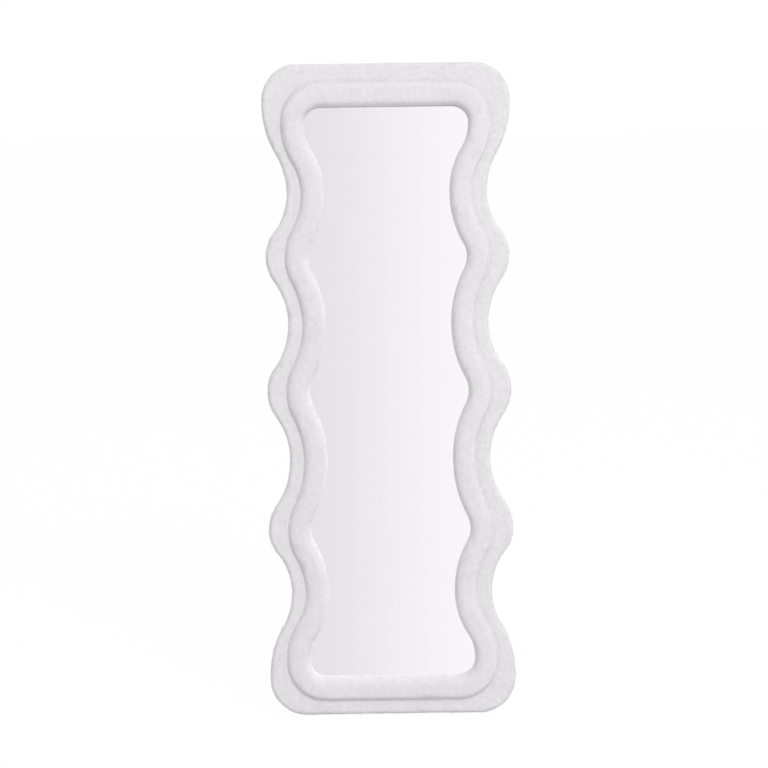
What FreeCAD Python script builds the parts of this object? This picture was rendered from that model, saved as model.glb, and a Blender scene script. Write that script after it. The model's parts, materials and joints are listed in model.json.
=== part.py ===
import FreeCAD
import Part
import math
import os

from FreeCAD import Vector

# A full-length floor mirror with a wavy outline. Its wooden frame carries a low padded tier along the
# outer edge and a taller padded roll beside the glass, both covered in plush. It leans back on a
# fold-out tube stand and has two rings on its back for hanging it on a wall.
# Lengths are millimetres, angles degrees. The panel is drawn upright and leaned back at the end:
# x runs to the right seen from the front, depth runs forward from the back of the wooden frame,
# height runs up the panel from the foot of its cover.

# Panel outline: each reach is measured from the centre line to the edge of the cover
PANEL_HEIGHT = 1600.0
TOP_CORNER_REACH = 305.0
BOTTOM_CORNER_REACH = 301.0
CREST_REACH = 300.0
WAIST_REACH = 246.0
CORNER_RADIUS = 88.0
SHOULDER_RUN = 12.0
WAVE_HEIGHT_SHARES = (0.8025, 0.705, 0.5995, 0.497, 0.392, 0.283, 0.1875)
CREST_ROUND_SHARE = 0.365
SHOULDER_ROUND_SHARE = 0.56

# Roll beside the glass and the width of the tier that it leaves free; the two corner widths are
# measured square to the steepest part of the side next to the corner
ROLL_WIDTH = 56.0
TIER_TOP_WIDTH = 45.0
TIER_BOTTOM_WIDTH = 38.0
TIER_TOP_CORNER_WIDTH = 39.6
TIER_BOTTOM_CORNER_WIDTH = 36.1
TIER_CREST_WIDTH = 48.0
TIER_WAIST_WIDTH = 35.0
CROWN_SHOULDER_RADIUS = 14.0
CROWN_SHOULDER_TURN = 50.0
ROLL_CORNER_RADIUS = 68.0
ROLL_SHOULDER_RUN = 6.0
ROLL_CREST_ROUND_SHARE = 0.29
ROLL_SHOULDER_ROUND_SHARE = 0.45

# Layers of the panel
COVER_THICKNESS = 3.0
FIT_GAP = 0.3
BASE_THICKNESS = 18.0
TIER_RISE = 18.0
TIER_EDGE_RADIUS = 15.0
TIER_CREASE_RADIUS = 9.0
EDGE_ROOM_SHARE = 0.58
CREASE_ROOM_SHARE = 0.35
RISE_ROOM_SHARE = 0.95
BACK_EDGE_RADIUS = 6.0
CORE_HEIGHT = 12.0
FLAP_WIDTH = 28.0
BACK_THICKNESS = 3.0
BACK_MARGIN = 2.0
GLASS_THICKNESS = 4.0
GLASS_LAP = 16.0
POCKET_GAP = 1.0
FILM_THICKNESS = 0.5

# Wood screws and staples
SCREW_RADIUS = 2.0
SCREW_HEAD_RADIUS = 4.0
SCREW_HEAD_HEIGHT = 2.4
SCREW_BITE = 11.0
SCREW_POINT = 3.0
RECESS_LENGTH = 4.4
RECESS_WIDTH = 1.0
RECESS_DEPTH = 1.3
HOLE_GAP = 0.05
BACK_SCREW_MARGIN = 12.0
CORE_BITE = 8.0
CORE_SCREW_OUTSET = 6.0
SCREW_SPREAD = 120.0
STAPLE_COUNT = 60
STAPLE_LENGTH = 10.0
STAPLE_WIRE = 1.0
STAPLE_LEG = 8.0

# Stance and fold-out stand
LEAN_ANGLE = 9.0
STAND_ANGLE = 15.0
PIVOT_DROP = 6.0
STAND_OUTSET = 12.0
PIVOT_STANDOFF = 15.0
STOP_GAP = 0.3
TUBE_RADIUS = 8.0
TUBE_WALL = 1.5
BEND_RADIUS = 45.0
SLEEVE_WALL = 3.0
SLEEVE_LENGTH = 60.0
SLEEVE_OFFSET = 95.0
SLEEVE_ROUND = 1.5
PLUG_LENGTH = 8.0
PLUG_CAP = 2.0
BUSH_WALL = 1.2
BOLT_RADIUS = 3.0
BOLT_HEAD_RADIUS = 5.5
BOLT_HEAD_HEIGHT = 3.4
BOLT_END = 1.5
SOCKET_RADIUS = 2.0
SOCKET_DEPTH = 1.8
NUT_RADIUS = 5.6
NUT_HEIGHT = 5.0
PIVOT_CLEARANCE = 0.05
EAR_GAP = 0.4
EAR_THICKNESS = 2.0
EAR_ROUND = 9.0
BRACKET_RISE = 46.0
BRACKET_DROP = 32.0
BRACKET_PLATE = 2.0
BRACKET_CORNER = 4.0
BRACKET_SCREW_INSET = 6.0

# Hanging rings
HANGER_RISE = 22.0
HANGER_OUTSET = 20.0
STRAP_WIDTH = 16.0
STRAP_LENGTH = 44.0
STRAP_THICKNESS = 1.5
STRAP_SCREW_SHARES = (0.34, 0.77)
WIRE_RADIUS = 1.75
WIRE_GAP = 0.3
RING_REACH = 13.0
RING_CORNER = 4.0
RING_SIDE = 6.0

# Non-slip pads under the bottom edge
PAD_LENGTH = 60.0
PAD_WIDTH = 6.0
PAD_THICKNESS = 1.2
PAD_OFFSET = 150.0
PAD_MARGIN = 2.0
PAD_CORNER = 2.0

# How far a cut runs past the face that it starts on
OVERRUN = 1.0

# Depths and reaches that follow from the sizes above
HALF_ROLL = ROLL_WIDTH / 2
TIER_FRONT = BASE_THICKNESS + TIER_RISE
CORE_FRONT = BASE_THICKNESS + CORE_HEIGHT
# The arch over the roll has two shoulders and a flatter crown, whose centre lies deeper than theirs
CROWN_TURN = math.radians(CROWN_SHOULDER_TURN)
CROWN_OFFSET = (HALF_ROLL - CROWN_SHOULDER_RADIUS) / math.cos(CROWN_TURN)
CROWN_RADIUS = CROWN_SHOULDER_RADIUS + CROWN_OFFSET
CROWN_DEPTH = CORE_FRONT - CROWN_OFFSET * math.sin(CROWN_TURN)
GLASS_BACK = BASE_THICKNESS - GLASS_THICKNESS
FILM_BACK = GLASS_BACK - FILM_THICKNESS
BACK_FACE = -BACK_THICKNESS
BACK_SCREW_INSET = FLAP_WIDTH + BACK_MARGIN + BACK_SCREW_MARGIN
CORE_HALF = HALF_ROLL - COVER_THICKNESS - FIT_GAP
POCKET_REACH = GLASS_LAP - HALF_ROLL + POCKET_GAP
LEAN = math.radians(LEAN_ANGLE)
STAND_TILT = math.radians(STAND_ANGLE - LEAN_ANGLE)
STAND_SPREAD = math.radians(STAND_ANGLE)


class WavyLine:
    """A closed outline, alike on both sides: flat top and bottom, round corners and wavy sides."""

    def __init__(self, top, bottom, top_reach, bottom_reach, crest, waist, corner, run, shares):
        self.top = top
        self.bottom = bottom
        self.top_reach = top_reach
        self.bottom_reach = bottom_reach
        self.corner = corner
        self.crest_share = shares[0]
        self.shoulder_share = shares[1]
        self.turns = [(top_reach, top - corner - run, True)]
        for index, share in enumerate(WAVE_HEIGHT_SHARES):
            is_crest = index % 2 == 1
            self.turns.append((crest if is_crest else waist, share * PANEL_HEIGHT, is_crest))
        self.turns.append((bottom_reach, bottom + corner + run, True))

    def slant(self, upper, lower):
        """The greatest angle from upright, in radians, of the side between two neighbouring turns."""
        return 2 * math.atan2(abs(upper[0] - lower[0]), upper[1] - lower[1])

    def level_width(self, width, upper, lower):
        """A width square to the side at its greatest slant between two turns, measured level."""
        return width / math.cos(self.slant(upper, lower))


OUTER_LINE = WavyLine(
    PANEL_HEIGHT,
    0.0,
    TOP_CORNER_REACH,
    BOTTOM_CORNER_REACH,
    CREST_REACH,
    WAIST_REACH,
    CORNER_RADIUS,
    SHOULDER_RUN,
    (CREST_ROUND_SHARE, SHOULDER_ROUND_SHARE),
)
TOP_CORNER_GAP = OUTER_LINE.level_width(TIER_TOP_CORNER_WIDTH, *OUTER_LINE.turns[:2])
BOTTOM_CORNER_GAP = OUTER_LINE.level_width(TIER_BOTTOM_CORNER_WIDTH, *OUTER_LINE.turns[-2:])
# The roll's own line runs along the middle of the roll
ROLL_LINE = WavyLine(
    PANEL_HEIGHT - TIER_TOP_WIDTH - HALF_ROLL,
    TIER_BOTTOM_WIDTH + HALF_ROLL,
    TOP_CORNER_REACH - TOP_CORNER_GAP - HALF_ROLL,
    BOTTOM_CORNER_REACH - BOTTOM_CORNER_GAP - HALF_ROLL,
    CREST_REACH - TIER_CREST_WIDTH - HALF_ROLL,
    WAIST_REACH - TIER_WAIST_WIDTH - HALF_ROLL,
    ROLL_CORNER_RADIUS,
    ROLL_SHOULDER_RUN,
    (ROLL_CREST_ROUND_SHARE, ROLL_SHOULDER_ROUND_SHARE),
)
# The hanging rings sit at the sides' first waist and the stand's brackets at the second
HANGER_WAIST, STAND_WAIST = ROLL_LINE.turns[1:5:2]
HANGER_REACH = HANGER_WAIST[0] + HANGER_OUTSET
HANGER_HEIGHT = HANGER_WAIST[1] + HANGER_RISE
STAND_REACH = STAND_WAIST[0] + STAND_OUTSET
PIVOT_HEIGHT = STAND_WAIST[1] - PIVOT_DROP


def point(x, depth, height):
    """A point of the upright panel."""
    return Vector(x, -depth, height)


def arc_points(centre, radius, start, end):
    """Start, middle and end, as (x, height), of an arc between two angles in degrees."""
    angles = [math.radians(angle) for angle in (start, (start + end) / 2, end)]
    return [(centre[0] + radius * math.cos(a), centre[1] + radius * math.sin(a)) for a in angles]


def wave_arcs(line, upper, lower, grow):
    """The two tangent arcs between neighbouring turns of a side, moved outward by grow.
    Where a crest lies further in than its waist, the turn and both radii are negative."""
    out, inn = (upper, lower) if upper[2] else (lower, upper)
    drop = upper[1] - lower[1]
    turn = 2 * math.atan2(out[0] - inn[0], drop)
    if turn == 0:
        return [[(upper[0] + grow, upper[1]), (lower[0] + grow, lower[1])]]
    at_corner = upper is line.turns[0] or lower is line.turns[-1]
    share = line.shoulder_share if at_corner else line.crest_share
    round_out = share * drop / math.sin(turn)
    round_in = (1 - share) * drop / math.sin(turn)
    angle = math.degrees(turn)
    out_centre = (out[0] - round_out, out[1])
    in_centre = (inn[0] + round_in, inn[1])
    if upper[2]:
        first = arc_points(out_centre, round_out + grow, 0, -angle)
        second = arc_points(in_centre, round_in - grow, 180 - angle, 180)
    else:
        first = arc_points(in_centre, round_in - grow, 180, 180 + angle)
        second = arc_points(out_centre, round_out + grow, angle, 0)
    return [first, second]


def side_runs(line, grow):
    """The right-hand side from the top edge to the bottom edge, as runs of two or three points."""
    top_centre = (line.top_reach - line.corner, line.top - line.corner)
    bottom_centre = (line.bottom_reach - line.corner, line.bottom + line.corner)
    radius = line.corner + grow
    first, last = line.turns[0], line.turns[-1]
    runs = [arc_points(top_centre, radius, 90, 0)]
    runs.append([runs[-1][-1], (first[0] + grow, first[1])])
    for upper, lower in zip(line.turns, line.turns[1:]):
        runs.extend(wave_arcs(line, upper, lower, grow))
    corner = arc_points(bottom_centre, radius, 0, -90)
    runs.append([(last[0] + grow, last[1]), corner[0]])
    runs.append(corner)
    return runs


def edge(points):
    """A straight edge through two points or an arc through three."""
    if len(points) == 2:
        return Part.LineSegment(*points).toShape()
    return Part.Arc(*points).toShape()


def wavy_wire(line, grow, depth):
    """The closed outline at one depth, moved outward by grow."""
    right = side_runs(line, grow)
    left = [[(-x, height) for x, height in reversed(run)] for run in reversed(right)]
    top = [left[-1][-1], right[0][0]]
    bottom = [right[-1][-1], left[0][0]]
    runs = [top] + right + [bottom] + left
    return Part.Wire([edge([point(x, depth, height) for x, height in run]) for run in runs])


def plate(line, grow, back, front):
    """A slab of the outline between two depths."""
    face = Part.Face(wavy_wire(line, grow, back))
    return face.extrude(point(0, front - back, 0))


def edges_on(shape, wire):
    """The edges of a shape that lie on a wire."""
    tolerance = FIT_GAP / 10
    found = []
    for candidate in shape.Edges:
        middle = candidate.valueAt((candidate.FirstParameter + candidate.LastParameter) / 2)
        spots = [middle] + [vertex.Point for vertex in candidate.Vertexes]
        if all(Part.Vertex(spot).distToShape(wire)[0] < tolerance for spot in spots):
            found.append(candidate)
    return found


def rounded(shape, line, grow, depth, radius):
    """The shape with its edges along an outline rounded."""
    return shape.makeFillet(radius, edges_on(shape, wavy_wire(line, grow, depth)))


def tier_radii():
    """The roundings of the tier's outer edge and crease, limited by its least width and its rise."""
    edge_line = wavy_wire(OUTER_LINE, 0, 0)
    crease_line = wavy_wire(ROLL_LINE, HALF_ROLL + FIT_GAP, 0)
    room = edge_line.distToShape(crease_line)[0]
    rise = RISE_ROOM_SHARE * TIER_RISE
    outer = min(TIER_EDGE_RADIUS, EDGE_ROOM_SHARE * room, rise)
    return outer, min(TIER_CREASE_RADIUS, CREASE_ROOM_SHARE * room, rise)


def tier_form(inset):
    """The padded tier's form, drawn in by inset from the outside of its cover."""
    edge_radius, crease_radius = tier_radii()
    front = TIER_FRONT - inset
    crease = HALF_ROLL + FIT_GAP + inset
    body = plate(OUTER_LINE, -inset, BASE_THICKNESS, front)
    body = rounded(body, OUTER_LINE, -inset, front, edge_radius - inset)
    body = body.cut(plate(ROLL_LINE, crease, BASE_THICKNESS - OVERRUN, front + OVERRUN))
    return rounded(body, ROLL_LINE, crease, front, crease_radius - inset)


def make_tier_cover():
    """Plush over the tier, round the outer edge and onto the back as a stapled flap."""
    skirt = plate(OUTER_LINE, 0, -COVER_THICKNESS, BASE_THICKNESS)
    skirt = rounded(skirt, OUTER_LINE, 0, -COVER_THICKNESS, BACK_EDGE_RADIUS)
    hollow = plate(OUTER_LINE, -COVER_THICKNESS, 0, BASE_THICKNESS + OVERRUN)
    hollow = rounded(hollow, OUTER_LINE, -COVER_THICKNESS, 0, BACK_EDGE_RADIUS - COVER_THICKNESS)
    skirt = skirt.cut(hollow)
    skirt = skirt.cut(plate(OUTER_LINE, -FLAP_WIDTH, -COVER_THICKNESS - OVERRUN, OVERRUN))
    shell = tier_form(0).cut(tier_form(COVER_THICKNESS))
    return shell.fuse(skirt).removeSplitter()


def make_tier_padding():
    return tier_form(COVER_THICKNESS + FIT_GAP)


def roll_path():
    """The middle line of the roll at the depth where its arch starts, from the straight top on."""
    return wavy_wire(ROLL_LINE, 0, CORE_FRONT)


def roll_ring(points):
    """A section swept along the roll; its runs are (outward, depth) pairs."""
    start = roll_path().Edges[0].firstVertex().Point
    runs = [[Vector(start.x, -depth, start.z + out) for out, depth in run] for run in points]
    section = Part.Wire([edge(run) for run in runs])
    sweep = Part.BRepOffsetAPI.MakePipeShell(roll_path())
    sweep.setBiNormalMode(Vector(0, 1, 0))
    sweep.add(section)
    sweep.build()
    sweep.makeSolid()
    return Part.Solid(sweep.shape())


def crown(inset):
    """The arch over the roll from its inner to its outer side, drawn in by inset."""
    turn = CROWN_SHOULDER_TURN
    shoulder_centre = (HALF_ROLL - CROWN_SHOULDER_RADIUS, CORE_FRONT)
    outer = arc_points(shoulder_centre, CROWN_SHOULDER_RADIUS - inset, turn, 0)
    inner = [(-out, depth) for out, depth in reversed(outer)]
    return [inner, arc_points((0, CROWN_DEPTH), CROWN_RADIUS - inset, 180 - turn, turn), outer]


def make_roll_cover():
    """Plush over the roll, tucked down to the wood outside and the glass inside."""
    outer = HALF_ROLL
    inner = HALF_ROLL - COVER_THICKNESS
    under = [run[::-1] for run in reversed(crown(COVER_THICKNESS))]
    section = crown(0)
    section.append([(outer, CORE_FRONT), (outer, BASE_THICKNESS)])
    section.append([(outer, BASE_THICKNESS), (inner, BASE_THICKNESS)])
    section.append([(inner, BASE_THICKNESS), (inner, CORE_FRONT)])
    section.extend(under)
    section.append([(-inner, CORE_FRONT), (-inner, BASE_THICKNESS)])
    section.append([(-inner, BASE_THICKNESS), (-outer, BASE_THICKNESS)])
    section.append([(-outer, BASE_THICKNESS), (-outer, CORE_FRONT)])
    return roll_ring(section)


def make_roll_padding():
    over = crown(COVER_THICKNESS + FIT_GAP)
    return roll_ring(over + [[over[-1][-1], over[0][0]]])


def ring_plate(outer_line, outer_grow, inner_line, inner_grow, back, front):
    """A flat ring between two outlines."""
    hole = plate(inner_line, inner_grow, back - OVERRUN, front + OVERRUN)
    return plate(outer_line, outer_grow, back, front).cut(hole)


def rod(start, direction, radius, length):
    """A cylinder from a start point along a direction."""
    return Part.makeCylinder(radius, length, start, direction)


def both_sides(places):
    """The places and their mirror images across the centre line."""
    return [(side * x, height) for x, height in places for side in (1, -1)]


def screw_places(line, grow):
    """Two places along the top, two along the bottom and one at each turn that carries no hardware."""
    places = [(SCREW_SPREAD, line.top + grow), (SCREW_SPREAD, line.bottom - grow)]
    for reach, height, _ in line.turns:
        if height not in (HANGER_WAIST[1], STAND_WAIST[1]):
            places.append((reach + grow, height))
    return both_sides(places)


def back_screw_places():
    return screw_places(OUTER_LINE, -BACK_SCREW_INSET)


def core_screw_places():
    return screw_places(ROLL_LINE, CORE_SCREW_OUTSET)


def bracket_screw_places():
    up = PIVOT_HEIGHT + BRACKET_RISE - BRACKET_SCREW_INSET
    down = PIVOT_HEIGHT - BRACKET_DROP + BRACKET_SCREW_INSET
    return both_sides([(STAND_REACH, up), (STAND_REACH, down)])


def hanger_screw_places():
    drops = [share * STRAP_LENGTH for share in STRAP_SCREW_SHARES]
    return both_sides([(HANGER_REACH, HANGER_HEIGHT - drop) for drop in drops])


def screw(length):
    """A pan-head wood screw at the origin, its head behind zero depth and its shank in front."""
    forward = point(0, 1, 0)
    head = rod(point(0, -SCREW_HEAD_HEIGHT, 0), forward, SCREW_HEAD_RADIUS, SCREW_HEAD_HEIGHT)
    rim = [e for e in head.Edges if e.BoundBox.YMin > SCREW_HEAD_HEIGHT - HOLE_GAP]
    head = head.makeFillet(SCREW_HEAD_HEIGHT / 2, rim)
    for along, across in ((RECESS_LENGTH, RECESS_WIDTH), (RECESS_WIDTH, RECESS_LENGTH)):
        corner = point(-along / 2, RECESS_DEPTH - SCREW_HEAD_HEIGHT, -across / 2)
        head = head.cut(Part.makeBox(along, RECESS_DEPTH + OVERRUN, across, corner))
    shank = rod(point(0, 0, 0), forward, SCREW_RADIUS, length - SCREW_POINT)
    tip_start = point(0, length - SCREW_POINT, 0)
    tip = Part.makeCone(SCREW_RADIUS, SCREW_RADIUS / 10, SCREW_POINT, tip_start, forward)
    return head.fuse([shank, tip]).removeSplitter()


def screws_at(places, seat, length):
    """A group of equal screws whose heads sit on the depth seat."""
    model = screw(length)
    return Part.makeCompound([model.translated(point(x, seat, height)) for x, height in places])


def drilled(shape, places, back, front, radius=SCREW_RADIUS + HOLE_GAP):
    """The shape with a round hole at each place between two depths."""
    forward = point(0, 1, 0)
    holes = [rod(point(x, back, height), forward, radius, front - back) for x, height in places]
    return shape.cut(holes)


def make_base_frame():
    """The wooden ring that carries everything, with its glass pocket open to front and back."""
    body = plate(OUTER_LINE, -COVER_THICKNESS - FIT_GAP, 0, BASE_THICKNESS)
    back_round = BACK_EDGE_RADIUS - COVER_THICKNESS - FIT_GAP
    body = rounded(body, OUTER_LINE, -COVER_THICKNESS - FIT_GAP, 0, back_round)
    body = body.cut(plate(ROLL_LINE, POCKET_REACH, -OVERRUN, BASE_THICKNESS + OVERRUN))
    through_plate = SCREW_BITE + HOLE_GAP
    places = back_screw_places() + bracket_screw_places() + hanger_screw_places()
    body = drilled(body, places, -OVERRUN, through_plate)
    body = drilled(body, core_screw_places(), -OVERRUN, BASE_THICKNESS + OVERRUN)
    counterbore = SCREW_HEAD_RADIUS + HOLE_GAP
    return drilled(body, core_screw_places(), -OVERRUN, SCREW_HEAD_HEIGHT, counterbore)


def make_roll_core():
    body = ring_plate(ROLL_LINE, CORE_HALF, ROLL_LINE, -CORE_HALF, BASE_THICKNESS, CORE_FRONT - FIT_GAP)
    hole_end = BASE_THICKNESS + CORE_BITE + HOLE_GAP
    return drilled(body, core_screw_places(), BASE_THICKNESS - OVERRUN, hole_end)


def make_core_screws():
    length = BASE_THICKNESS + CORE_BITE - SCREW_HEAD_HEIGHT
    return screws_at(core_screw_places(), SCREW_HEAD_HEIGHT, length)


def make_mirror_glass():
    return plate(ROLL_LINE, GLASS_LAP - HALF_ROLL, GLASS_BACK, BASE_THICKNESS)


def make_safety_film():
    return plate(ROLL_LINE, GLASS_LAP - HALF_ROLL, FILM_BACK, GLASS_BACK)


def make_filler_sheet():
    return plate(ROLL_LINE, GLASS_LAP - HALF_ROLL, 0, FILM_BACK)


def make_back_panel():
    """Hardboard that closes the back inside the stapled flap."""
    body = plate(OUTER_LINE, -FLAP_WIDTH - BACK_MARGIN, BACK_FACE, 0)
    places = back_screw_places() + bracket_screw_places() + hanger_screw_places()
    return drilled(body, places, BACK_FACE - OVERRUN, OVERRUN)


def make_back_screws():
    return screws_at(back_screw_places(), BACK_FACE, BACK_THICKNESS + SCREW_BITE)


def staple():
    """A wire staple along x at the origin, its crown behind zero depth and its legs in front."""
    half = STAPLE_LENGTH / 2
    crown_corner = point(-half, 0, -STAPLE_WIRE / 2)
    body = Part.makeBox(STAPLE_LENGTH, STAPLE_WIRE, STAPLE_WIRE, crown_corner)
    for left in (-half, half - STAPLE_WIRE):
        corner = point(left, STAPLE_LEG, -STAPLE_WIRE / 2)
        body = body.fuse(Part.makeBox(STAPLE_WIRE, STAPLE_LEG, STAPLE_WIRE, corner))
    return body.removeSplitter()


def make_cover_staples():
    """Staples along the middle of the flap, each in line with the edge beside it."""
    wire = wavy_wire(OUTER_LINE, -FLAP_WIDTH / 2, -COVER_THICKNESS)
    spots = wire.discretize(Number=STAPLE_COUNT + 1)[:-1]
    model = staple()
    staples = []
    for index, spot in enumerate(spots):
        ahead = spots[(index + 1) % STAPLE_COUNT] - spots[index - 1]
        angle = -math.degrees(math.atan2(ahead.z, ahead.x))
        placed = model.rotated(Vector(), Vector(0, 1, 0), angle)
        staples.append(placed.translated(spot))
    return Part.makeCompound(staples)


def pivot(side):
    """A point on the stand's hinge axis in the middle of one bracket."""
    return point(side * STAND_REACH, BACK_FACE - BRACKET_PLATE - PIVOT_STANDOFF, PIVOT_HEIGHT)


def ear(x):
    """One ear of a bracket, from the plate out past the pivot, drawn at zero height."""
    plate_face = BACK_FACE
    axis = plate_face - BRACKET_PLATE - PIVOT_STANDOFF
    rim = [
        [point(x, plate_face, EAR_ROUND), point(x, axis, EAR_ROUND)],
        [point(x, axis, EAR_ROUND), point(x, axis - EAR_ROUND, 0), point(x, axis, -EAR_ROUND)],
        [point(x, axis, -EAR_ROUND), point(x, plate_face, -EAR_ROUND)],
        [point(x, plate_face, -EAR_ROUND), point(x, plate_face, EAR_ROUND)],
    ]
    face = Part.Face(Part.Wire([edge(run) for run in rim]))
    body = face.extrude(Vector(EAR_THICKNESS, 0, 0))
    bore_start = point(x - OVERRUN, axis, 0)
    bore = rod(bore_start, Vector(1, 0, 0), BOLT_RADIUS + PIVOT_CLEARANCE, EAR_THICKNESS + 2 * OVERRUN)
    return body.cut(bore)


def make_hinge_bracket(side):
    """A folded steel bracket: a plate on the back and two ears that hold the bolt."""
    inner = TUBE_RADIUS + EAR_GAP
    outer = inner + EAR_THICKNESS
    corner = point(-outer, BACK_FACE, -BRACKET_DROP)
    base = Part.makeBox(2 * outer, BRACKET_PLATE, BRACKET_RISE + BRACKET_DROP, corner)
    thin = [e for e in base.Edges if abs(e.Length - BRACKET_PLATE) < HOLE_GAP]
    base = base.makeFillet(BRACKET_CORNER, thin)
    body = base.fuse([ear(inner), ear(-outer)]).removeSplitter()
    body = body.translated(Vector(side * STAND_REACH, 0, PIVOT_HEIGHT))
    back = BACK_FACE - BRACKET_PLATE
    return drilled(body, bracket_screw_places(), back - OVERRUN, BACK_FACE + OVERRUN)


def make_bracket_screws():
    length = BRACKET_PLATE + BACK_THICKNESS + SCREW_BITE
    return screws_at(bracket_screw_places(), BACK_FACE - BRACKET_PLATE, length)


def make_pivot_bolt(side):
    """A bolt through the ears, its head on the outer one."""
    grip = TUBE_RADIUS + EAR_GAP + EAR_THICKNESS
    inward = Vector(-side, 0, 0)
    centre = pivot(side)
    head_start = centre - inward * (grip + BOLT_HEAD_HEIGHT)
    head = rod(head_start, inward, BOLT_HEAD_RADIUS, BOLT_HEAD_HEIGHT)
    rim = [e for e in head.Edges if abs(e.CenterOfMass.x - head_start.x) < HOLE_GAP]
    rim = [e for e in rim if isinstance(e.Curve, Part.Circle)]
    head = head.makeFillet(BOLT_HEAD_HEIGHT / 2, rim)
    socket = hexagon(head_start - inward * OVERRUN, inward, SOCKET_RADIUS, SOCKET_DEPTH + OVERRUN)
    length = 2 * grip + NUT_HEIGHT + BOLT_END
    shank = rod(centre - inward * grip, inward, BOLT_RADIUS, length)
    return head.cut(socket).fuse(shank).removeSplitter()


def hexagon(start, direction, radius, length):
    """A six-sided prism from a start point along x."""
    corners = []
    for index in range(7):
        angle = math.radians(60 * index)
        corners.append(start + Vector(0, radius * math.cos(angle), radius * math.sin(angle)))
    return Part.Face(Part.makePolygon(corners)).extrude(direction * length)


def make_pivot_nut(side):
    """A locking nut on the inner ear."""
    inward = Vector(-side, 0, 0)
    start = pivot(side) + inward * (TUBE_RADIUS + EAR_GAP + EAR_THICKNESS)
    body = hexagon(start, inward, NUT_RADIUS, NUT_HEIGHT)
    bore = rod(start - inward * OVERRUN, inward, BOLT_RADIUS, NUT_HEIGHT + 2 * OVERRUN)
    return body.cut(bore)


def floor_lift():
    """How far the leaning panel is raised so that its pads stand on the floor."""
    return PAD_THICKNESS - pad_depths()[0] * math.sin(LEAN)


def pad_depths():
    """Back and front of the pads, on the flat in front of the cover's rounded back edge."""
    back = BACK_EDGE_RADIUS - COVER_THICKNESS + PAD_MARGIN
    return back, back + PAD_WIDTH


def sleeve_radius():
    return TUBE_RADIUS + SLEEVE_WALL


def stand_length():
    """From the hinge axis to the middle of the foot bar, so that its sleeves reach the floor."""
    axis = pivot(1)
    axis_level = axis.z * math.cos(LEAN) - axis.y * math.sin(LEAN) + floor_lift()
    return (axis_level - sleeve_radius()) / math.cos(STAND_TILT)


def tail_length():
    """From the hinge axis to the capped top end, which meets the bracket and stops the stand."""
    room = PIVOT_STANDOFF - STOP_GAP - TUBE_RADIUS * math.cos(STAND_SPREAD)
    return room / math.sin(STAND_SPREAD)


def opened(shape):
    """A stand piece, drawn folded flat, swung out to the open stand."""
    return shape.rotated(pivot(1), Vector(1, 0, 0), STAND_ANGLE)


def stand_path():
    """The middle line of the U-shaped tube, drawn folded."""
    depth = -pivot(1).y
    top = PIVOT_HEIGHT + tail_length() - PLUG_CAP
    bar = PIVOT_HEIGHT - stand_length()
    bend_top = bar + BEND_RADIUS
    bend_reach = STAND_REACH - BEND_RADIUS
    shift = BEND_RADIUS * (1 - math.sqrt(0.5))
    left = [
        [(-STAND_REACH, top), (-STAND_REACH, bend_top)],
        [(-STAND_REACH, bend_top), (shift - STAND_REACH, bar + shift), (-bend_reach, bar)],
    ]
    right = [[(-x, height) for x, height in reversed(run)] for run in reversed(left)]
    runs = left + [[(-bend_reach, bar), (bend_reach, bar)]] + right
    return Part.Wire([edge([point(x, depth, height) for x, height in run]) for run in runs])


def tube_along(path, radius):
    """A round rod swept along a path that starts straight down."""
    start = path.Edges[0].firstVertex().Point
    circle = Part.Wire(Part.makeCircle(radius, start, Vector(0, 0, 1)))
    return path.makePipeShell([circle], True, False)


def make_stand_tube():
    """The U-shaped tube with a cross hole for a bush near each end."""
    path = stand_path()
    body = tube_along(path, TUBE_RADIUS).cut(tube_along(path, TUBE_RADIUS - TUBE_WALL))
    bush = BOLT_RADIUS + PIVOT_CLEARANCE + BUSH_WALL + HOLE_GAP
    for side in (1, -1):
        across = rod(pivot(side) - Vector(STAND_OUTSET, 0, 0), Vector(1, 0, 0), bush, 2 * STAND_OUTSET)
        body = body.cut(across)
    return opened(body)


def make_stand_bush(side):
    """A nylon bush that lines the tube's cross hole."""
    start = pivot(side) - Vector(TUBE_RADIUS, 0, 0)
    bore = BOLT_RADIUS + PIVOT_CLEARANCE
    body = rod(start, Vector(1, 0, 0), bore + BUSH_WALL, 2 * TUBE_RADIUS)
    hole_start = start - Vector(OVERRUN, 0, 0)
    body = body.cut(rod(hole_start, Vector(1, 0, 0), bore, 2 * (TUBE_RADIUS + OVERRUN)))
    return opened(body)


def make_stand_plug(side):
    """A plastic cap in the top end of a tube leg."""
    rim = pivot(side) + Vector(0, 0, tail_length() - PLUG_CAP)
    up = Vector(0, 0, 1)
    cap = rod(rim, up, TUBE_RADIUS, PLUG_CAP)
    stem = rod(rim - up * PLUG_LENGTH, up, TUBE_RADIUS - TUBE_WALL - HOLE_GAP, PLUG_LENGTH)
    return opened(cap.fuse(stem).removeSplitter())


def make_stand_sleeve(side):
    """A rubber sleeve on the foot bar that grips the floor."""
    bar = pivot(1) - Vector(0, 0, stand_length())
    start = Vector(side * SLEEVE_OFFSET - SLEEVE_LENGTH / 2, bar.y, bar.z)
    along = Vector(1, 0, 0)
    body = rod(start, along, sleeve_radius(), SLEEVE_LENGTH)
    rims = [e for e in body.Edges if isinstance(e.Curve, Part.Circle)]
    body = body.makeFillet(SLEEVE_ROUND, rims)
    hole_start = start - along * OVERRUN
    body = body.cut(rod(hole_start, along, TUBE_RADIUS, SLEEVE_LENGTH + 2 * OVERRUN))
    return opened(body)


def loop_radius():
    return WIRE_RADIUS + WIRE_GAP + STRAP_THICKNESS


def ring_axis(side):
    """The middle of a hanging ring's straight bar."""
    return point(side * HANGER_REACH, BACK_FACE - loop_radius(), HANGER_HEIGHT)


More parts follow.
